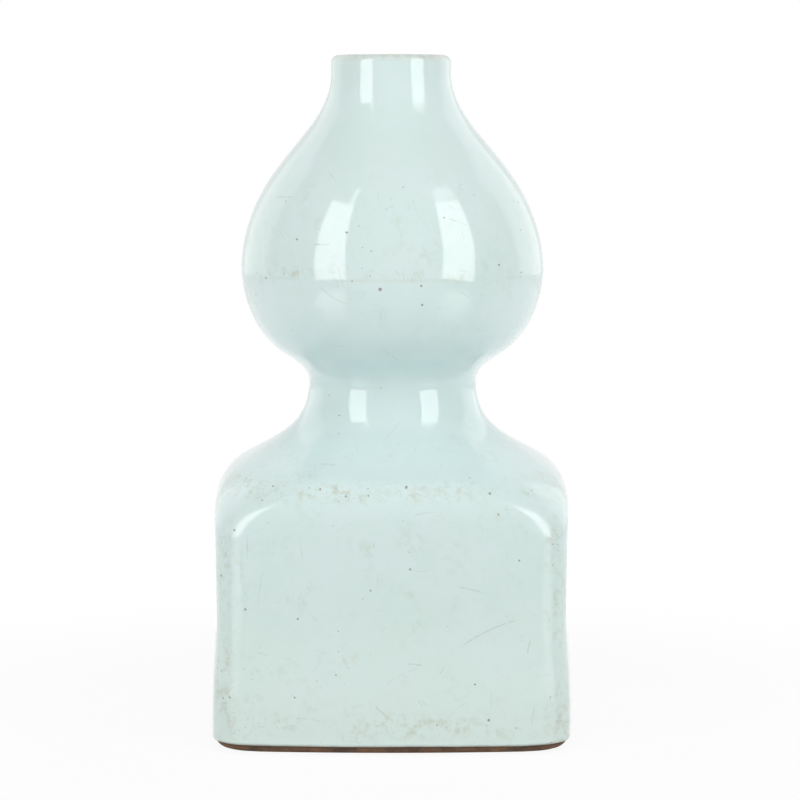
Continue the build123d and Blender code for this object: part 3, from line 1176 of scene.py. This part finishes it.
@dataclass
class GlazeCoat:
    """Outside glaze, from its rolled edge over the bare foot up and over the lip."""

    outline: GourdOutline
    thickness: float = 0.8
    glaze_line: float = 3.5
    bead: float = 0.25
    sway: float = 0.22
    edge_wave: float = 0.45
    edge_lift: float = 1.1
    corner_lift: float = 0.4

    def rows(self) -> list[Row]:
        """Closed loop of rows: up the outside, over the lip and back down the inside.

        Returns:
            The rows, with the first again at the end.
        """
        outline = self.outline
        low = math.asin((outline.wall_end_height - self.glaze_line) / outline.wall_end_height)
        outer = []
        inner = []
        for number in range(7):
            turn = low * (1 - number / 6)
            swell = self.bead * math.sin(math.pi * number / 6) ** 2
            outer.append(self._round_row(turn, swell))
            inner.append(self._round_row(turn, -self.thickness))
        tip = self._round_row(low + 0.07, -self.thickness / 2)
        up = outer[:-1] + outline.rows_up(0.0, 2.6)
        over = outline.lip_rows(0.0, 14, True)
        back = outline.lip_rows(self.thickness, 8, False)
        down = list(reversed(outline.rows_up(self.thickness, 7.0)))[1:]
        loop = [tip, *up, *over, *back, *down[:-1], *reversed(inner)]
        return [*loop, tip]

    def _round_row(self, turn: float, proud: float) -> Row:
        """Find a row on the rounding above the foot.

        Args:
            turn: Angle under the wall's end, in radians.
            proud: How far it stands proud of the wall.

        Returns:
            The row.
        """
        radius = self.outline.wall_end_height
        centre = self.outline.foot_half_width - radius
        half_width = centre + (radius + proud) * math.cos(turn)
        height = radius - (radius + proud) * math.sin(turn)
        return Row(half_width, self.outline.corner_radius + min(proud, 0.0), height)

    def build(self, sweep: SweepTree, material: bpy.types.Material) -> bpy.types.Object:
        """Make the coat and put it on the body."""
        piece = SweptPiece(
            "outside_glaze",
            "glaze_coat",
            "celadon_glaze",
            self.rows(),
            material,
            sway=self.sway,
            edge_wave=self.edge_wave,
            edge_lift=self.edge_lift,
            corner_lift=self.corner_lift,
            drift_by_height=True,
        )
        return piece.build(sweep, self.outline)


@dataclass
class GlazeLining:
    """Inside glaze, from the lip down over the floor."""

    outline: GourdOutline
    outer_depth: float = 7.2
    inner_depth: float = 8.0

    def rows(self) -> list[Row]:
        """Rows from the middle of the floor's underside round the wall to the middle of the floor.

        Returns:
            The rows, from pole to pole.
        """
        under = self.outline.floor_height
        over = under + self.inner_depth - self.outer_depth
        up = [row for row in self.outline.rows_up(self.outer_depth, 7.0) if row.height > under + 0.1]
        inner = reversed(self.outline.rows_up(self.inner_depth, 5.0))
        down = [row for row in inner if row.height > over + 0.1]
        return [*self._floor(up[0], under, True), *up, *down, *self._floor(down[-1], over, False)]

    @staticmethod
    def _floor(wall: Row, height: float, outwards: bool) -> list[Row]:
        """Set rows of a flat floor between its middle and the wall.

        Args:
            wall: Row where the wall meets it.
            height: Height of the floor.
            outwards: Whether they run from the middle out.

        Returns:
            The rows.
        """
        shares = [number / 8 for number in range(9)]
        if not outwards:
            shares.reverse()
        return [Row(wall.half_width * share, wall.corner * share, height) for share in shares]

    def build(self, sweep: SweepTree, material: bpy.types.Material) -> bpy.types.Object:
        """Make the lining and put it on the body."""
        piece = SweptPiece(
            "inside_glaze",
            "glaze_lining",
            "lining_glaze",
            self.rows(),
            material,
            sway=0.1,
            drift_by_height=True,
            side_steps=12,
            corner_steps=28,
        )
        return piece.build(sweep, self.outline)


@dataclass
class SquareFoot:
    """Bare foot ring and the glaze in its recess."""

    outline: GourdOutline
    height: float = 8.0
    depth: float = 1.0
    width: float = 16.0
    foot_round: float = 7.0
    recess_round: float = 2.0
    recess_gap: float = 0.2
    plate_thickness: float = 0.8
    corner_wear: float = 0.7

    def __post_init__(self) -> None:
        """Work out the widths."""
        self.outer = self.outline.foot_half_width - self.depth
        self.outer_corner = self.outline.corner_radius - self.depth
        self.recess = self.outer - self.width
        self.recess_corner = self.outer_corner - self.width / 2

    def ring_rows(self) -> list[Row]:
        """Closed loop of rows: out along the bottom, up the outside, in along the top and down the recess.

        Returns:
            The rows, with the first again at the end.
        """
        inner = self.recess + self.recess_round
        start = Row(inner, self.recess_corner + self.recess_round, 0.0)
        end = Row(self.outer - self.foot_round, self.outer_corner - self.foot_round, 0.0)
        rows = [self._between(start, end, number / 4) for number in range(4)]
        for number in range(11):
            turn = math.pi / 2 * number / 10
            inset = self.foot_round * (1 - math.sin(turn))
            level = self.foot_round * (1 - math.cos(turn))
            rows.append(Row(self.outer - inset, self.outer_corner - inset, level))
        top_outer = Row(self.outer, self.outer_corner, self.height)
        top_inner = Row(self.recess, self.recess_corner, self.height)
        rows += [self._between(top_outer, top_inner, number / 4) for number in range(5)]
        for number in range(7):
            turn = math.pi / 2 * number / 6
            step = self.recess_round * (1 - math.cos(turn))
            level = self.recess_round * (1 - math.sin(turn))
            rows.append(Row(self.recess + step, self.recess_corner + step, level))
        return [*rows[:-1], rows[0]]

    @staticmethod
    def _between(start: Row, end: Row, share: float) -> Row:
        """Row at a share of the way from one to another."""
        return Row(
            start.half_width + (end.half_width - start.half_width) * share,
            start.corner + (end.corner - start.corner) * share,
            start.height + (end.height - start.height) * share,
        )

    def plate_rows(self) -> list[Row]:
        """Set rows of the glaze plate.

        Returns:
            The rows, from the middle of its underside to the middle of its top.
        """
        half_width = self.recess - self.recess_gap
        corner = self.recess_corner - self.recess_gap
        shares = [number / 6 for number in range(7)]
        under = [Row(half_width * share, corner * share, self.height) for share in shares]
        top = self.height + self.plate_thickness
        over = [Row(row.half_width, row.corner, top) for row in reversed(under)]
        return [*under, *over]

    def build(
        self,
        sweep: SweepTree,
        bare: bpy.types.Material,
        glaze: bpy.types.Material,
    ) -> list[bpy.types.Object]:
        """Make the ring and the plate and put them on the body.

        Args:
            sweep: Tree that does the sweep.
            bare: Finish of the ring.
            glaze: Finish of the plate.

        Returns:
            The two objects.
        """
        ring = SweptPiece(
            "square_foot",
            "foot_ring",
            "bare_foot",
            self.ring_rows(),
            bare,
            corner_lift=self.corner_wear,
        )
        plate = SweptPiece(
            "recess_glaze",
            "underside_glaze",
            "lining_glaze",
            self.plate_rows(),
            glaze,
            side_steps=8,
            corner_steps=16,
        )
        return [ring.build(sweep, self.outline), plate.build(sweep, self.outline)]


@dataclass
class ClayCore:
    """Clay sections and luted seams under the glaze, which keep their CAD meshes."""

    sections: tuple[str, ...] = (
        "neck_collar",
        "bulb_upper_half",
        "bulb_lower_half",
        "waist_collar",
        "shoulder",
        "wall_front",
        "wall_back",
        "wall_left",
        "wall_right",
        "base_slab",
    )
    seams: tuple[str, ...] = (
        "neck_seam",
        "equator_seam",
        "bulb_waist_seam",
        "waist_shoulder_seam",
        "shoulder_wall_seam",
        "corner_seams",
        "base_seam",
        "foot_seam",
    )

    def dress(self, nodes: dict[str, bpy.types.Object]) -> None:
        """Give the sections and seams their finishes.

        Args:
            nodes: CAD nodes by name.
        """
        clay = FiredBody("fired_clay", paint(0.560, 0.520, 0.455), paint(0.470, 0.425, 0.365)).make()
        slip_tones = paint(0.600, 0.570, 0.505), paint(0.520, 0.485, 0.425)
        slip = FiredBody("fired_slip", *slip_tones, depth=0.08).make()
        for names, material in ((self.sections, clay), (self.seams, slip)):
            for name in names:
                materials = nodes[name].data.materials
                materials.clear()
                materials.append(material)
            logger.info("%s on %d nodes", material.name, len(names))


@dataclass(frozen=True)
class Lamp:
    """Rectangular area light that the camera doesn't see, in metres and degrees."""

    name: str
    turn: float

    def hang(self, width: float, length: float, radiance: float, mirrored: bool) -> bpy.types.Object:
        """Make the light.

        Args:
            width: Its width.
            length: Its length.
            radiance: How bright its face is.
            mirrored: Whether glossy surfaces show it.

        Returns:
            The object that holds it, still at the origin.
        """
        lamp = bpy.data.lights.new(self.name, "AREA")
        lamp.shape = "RECTANGLE"
        lamp.size = width
        lamp.size_y = length
        lamp.energy = radiance * math.pi * lamp.size * lamp.size_y
        holder = bpy.data.objects.new(self.name, lamp)
        holder.visible_camera = False
        holder.visible_glossy = mirrored
        bpy.context.scene.collection.objects.link(holder)
        return holder

    def spot(self, distance: float, height: float) -> tuple[float, float, float]:
        """Place at a distance from the vase, turned round it from the camera's side."""
        turn = math.radians(self.turn)
        return distance * math.sin(turn), -distance * math.cos(turn), height


@dataclass(frozen=True)
class Softbox(Lamp):
    """Upright soft light that faces the vase."""

    distance: float
    width: float
    bottom: float
    top: float
    radiance: float
    roll: float = 0.0
    mirrored: bool = True

    def build(self) -> None:
        """Hang the light upright."""
        holder = self.hang(self.width, self.top - self.bottom, self.radiance, self.mirrored)
        holder.location = self.spot(self.distance, (self.top + self.bottom) / 2)
        upright = Matrix.Rotation(math.radians(self.turn), 4, "Z") @ Matrix.Rotation(math.pi / 2, 4, "X")
        holder.rotation_euler = (upright @ Matrix.Rotation(math.radians(self.roll), 4, "Z")).to_euler()


@dataclass(frozen=True)
class LevelCard(Lamp):
    """Level light: on the floor, facing up, or overhead, facing down."""

    near: float
    far: float
    width: float
    radiance: float
    level: float = 0.002
    mirrored: bool = True

    def build(self) -> None:
        """Lay or hang the light level."""
        holder = self.hang(self.width, self.far - self.near, self.radiance, self.mirrored)
        holder.location = self.spot((self.far + self.near) / 2, self.level)
        facing = math.pi if self.level < 1.0 else 0.0
        holder.rotation_euler = (facing, 0.0, math.radians(self.turn))


@dataclass
class Studio:
    """Pale floor, white surroundings, soft lights and the camera, in metres and degrees."""

    camera_distance: float = 1.5
    camera_height: float = 0.335
    camera_side: float = 0.00439
    camera_pitch: float = 6.195
    lens: float = 126.5
    fill: float = 0.22
    floor_shade: float = 0.08
    shade_reach: float = 0.42
    floor_reach: float = 6.0
    paper: Colour = paint(0.83, 0.83, 0.83)
    white: Colour = paint(1.0, 1.0, 1.0)
    softboxes: tuple[Softbox, ...] = (
        Softbox("left_softbox", -48.2, 1.3, 0.575, 0.08, 1.60, 3.25, 4.0),
        Softbox("left_upper_strip", -41.7, 1.3, 0.12, 1.60, 2.25, 2.2),
        Softbox("right_softbox", 53.3, 1.3, 0.60, 0.08, 1.60, 3.25, -8.0),
        Softbox("right_upper_strip", 58.5, 1.3, 0.55, 1.60, 2.05, 1.5),
        Softbox("left_rim_light", -130.0, 1.6, 1.2, 0.1, 1.7, 0.50),
        Softbox("right_rim_light", 130.0, 1.6, 1.2, 0.1, 1.7, 0.60),
        Softbox("left_back_light", -150.0, 1.6, 0.9, 0.1, 1.7, 1.0, mirrored=False),
        Softbox("right_back_light", 150.0, 1.6, 0.9, 0.1, 1.7, 1.0, mirrored=False),
    )
    cards: tuple[LevelCard, ...] = (
        LevelCard("left_near_card", -47.0, 0.30, 0.44, 0.14, 0.60),
        LevelCard("left_far_card", -47.0, 0.44, 0.76, 0.24, 1.1),
        LevelCard("right_near_card", 49.0, 0.30, 0.44, 0.14, 0.60),
        LevelCard("right_far_card", 49.0, 0.44, 0.76, 0.24, 1.0),
        LevelCard("left_back_card", -130.0, 0.25, 1.50, 1.0, 0.16),
        LevelCard("right_back_card", 130.0, 0.25, 1.50, 1.0, 0.20),
        LevelCard("overhead_fill", 0.0, 0.30, 1.50, 1.6, 1.85, 1.9, False),
    )

    def build(self) -> None:
        """Make the floor, world, lights and camera."""
        self._floor()
        self._world()
        for light in (*self.softboxes, *self.cards):
            light.build()
        self._camera()
        bpy.context.scene.view_settings.view_transform = "Standard"

    @staticmethod
    def _seen(desk: NodeDesk) -> Signal:
        """Tell apart the rays that are seen.

        Args:
            desk: Desk of the nodes.

        Returns:
            One for rays from the camera, from mirrors and through glass.
        """
        path = desk.node("ShaderNodeLightPath")
        seen = desk.out(path, "Is Camera Ray") + desk.out(path, "Is Glossy Ray")
        return (seen + desk.out(path, "Is Transmission Ray")).least(1.0)

    def _floor(self) -> None:
        """Lay the floor, white where it is seen, with the vase's shadow kept in it."""
        reach = self.floor_reach
        mesh = bpy.data.meshes.new("studio_floor")
        corners = [(-reach, -reach, 0.0), (reach, -reach, 0.0), (reach, reach, 0.0), (-reach, reach, 0.0)]
        mesh.from_pydata(corners, [], [(0, 1, 2, 3)])
        floor = bpy.data.objects.new("studio_floor", mesh)
        bpy.context.scene.collection.objects.link(floor)
        material = bpy.data.materials.new("studio_paper")
        material.use_nodes = True
        material.node_tree.nodes.clear()
        desk = NodeDesk(material.node_tree)
        paper = desk.node("ShaderNodeBsdfDiffuse", None, {"Color": self.paper})
        glow = desk.node("ShaderNodeEmission", None, {"Color": self.white, "Strength": 1.0})
        place = desk.out(desk.node("ShaderNodeTexCoord"), "Object")
        near = desk.vector("LENGTH", place).ease(0.16, self.shade_reach, 1.0, 0.0)
        share = self._seen(desk) * (1 - near * self.floor_shade)
        mixed = desk.node("ShaderNodeMixShader", None, {0: share, 1: desk.out(paper), 2: desk.out(glow)})
        desk.node("ShaderNodeOutputMaterial", None, {"Surface": desk.out(mixed)})
        mesh.materials.append(material)

    def _world(self) -> None:
        """Surround the vase with white where it is seen, and with a softer fill where it lights."""
        world = bpy.data.worlds.new("studio_world")
        world.use_nodes = True
        world.node_tree.nodes.clear()
        desk = NodeDesk(world.node_tree)
        fill = desk.node("ShaderNodeBackground", None, {"Color": self.white, "Strength": self.fill})
        white = desk.node("ShaderNodeBackground", None, {"Color": self.white, "Strength": 1.0})
        mixed = desk.node(
            "ShaderNodeMixShader", None, {0: self._seen(desk), 1: desk.out(fill), 2: desk.out(white)}
        )
        desk.node("ShaderNodeOutputWorld", None, {"Surface": desk.out(mixed)})
        bpy.context.scene.world = world

    def _camera(self) -> None:
        """Set up the camera in front of the vase, a little below the height of its mouth."""
        lens = bpy.data.cameras.new("camera")
        lens.lens = self.lens
        lens.sensor_width = 36.0
        lens.clip_start = 0.05
        lens.clip_end = 50.0
        camera = bpy.data.objects.new("camera", lens)
        camera.location = (self.camera_side, -self.camera_distance, self.camera_height)
        camera.rotation_euler = (math.radians(90.0 - self.camera_pitch), 0.0, 0.0)
        bpy.context.scene.collection.objects.link(camera)
        bpy.context.scene.camera = camera


def main() -> None:
    """Load the frame, dress the vase and set the studio."""
    logging.basicConfig(level=logging.INFO, format="%(name)s: %(message)s")
    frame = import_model()
    outline = GourdOutline()
    sweep = SweepTree()
    celadon = CeladonGlaze(outline).make()
    lining = LiningGlaze().make()
    bare = BareFoot().make()
    GlazeCoat(outline).build(sweep, celadon)
    GlazeLining(outline).build(sweep, lining)
    SquareFoot(outline).build(sweep, bare, lining)
    ClayCore().dress(frame["nodes"])
    Studio().build()


if __name__ == "__main__":
    main()
